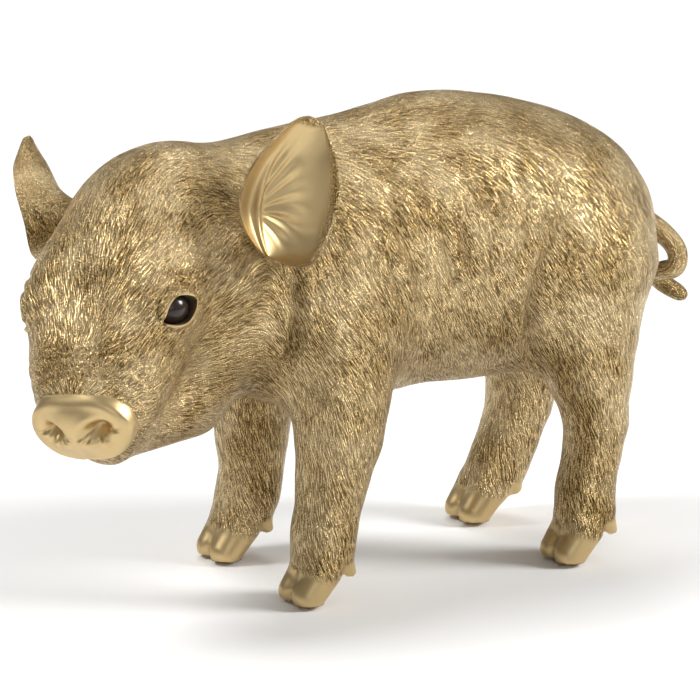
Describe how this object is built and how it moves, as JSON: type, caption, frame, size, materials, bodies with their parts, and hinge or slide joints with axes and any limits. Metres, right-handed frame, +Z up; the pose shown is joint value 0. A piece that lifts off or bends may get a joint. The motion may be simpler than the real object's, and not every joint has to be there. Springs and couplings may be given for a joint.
{
  "type": "piglet coin bank",
  "caption": "Hollow cast-iron coin bank shaped as a standing piglet with turned head, coin slot in the back, curled tail, glass eyes and a rubber stopper in the belly.",
  "frame": {"origin": "on the floor under the middle of the bounding box", "axes": "+X to the front of the animal, +Y to its left, +Z up"},
  "size_m": [0.3178, 0.1406, 0.2036],
  "materials": {
    "cast_gold": "satin",
    "eye_glass": "gloss",
    "stopper_rubber": "matte",
    "felt": "matte"
  },
  "bodies": {
    "bank": {"body_casting": "cast_gold", "left_ear": "cast_gold", "right_ear": "cast_gold", "tail": "cast_gold", "left_eye": "eye_glass", "right_eye": "eye_glass", "left_front_pad": "felt", "right_front_pad": "felt", "left_hind_pad": "felt", "right_hind_pad": "felt"},
    "stopper": {"belly_stopper": "stopper_rubber"}
  },
  "joints": [
    {"name": "stopper_pull", "type": "slide", "parent": "bank", "child": "stopper", "axis": [0, 0, -1], "range_m": [0, 0.045]}
  ]
}
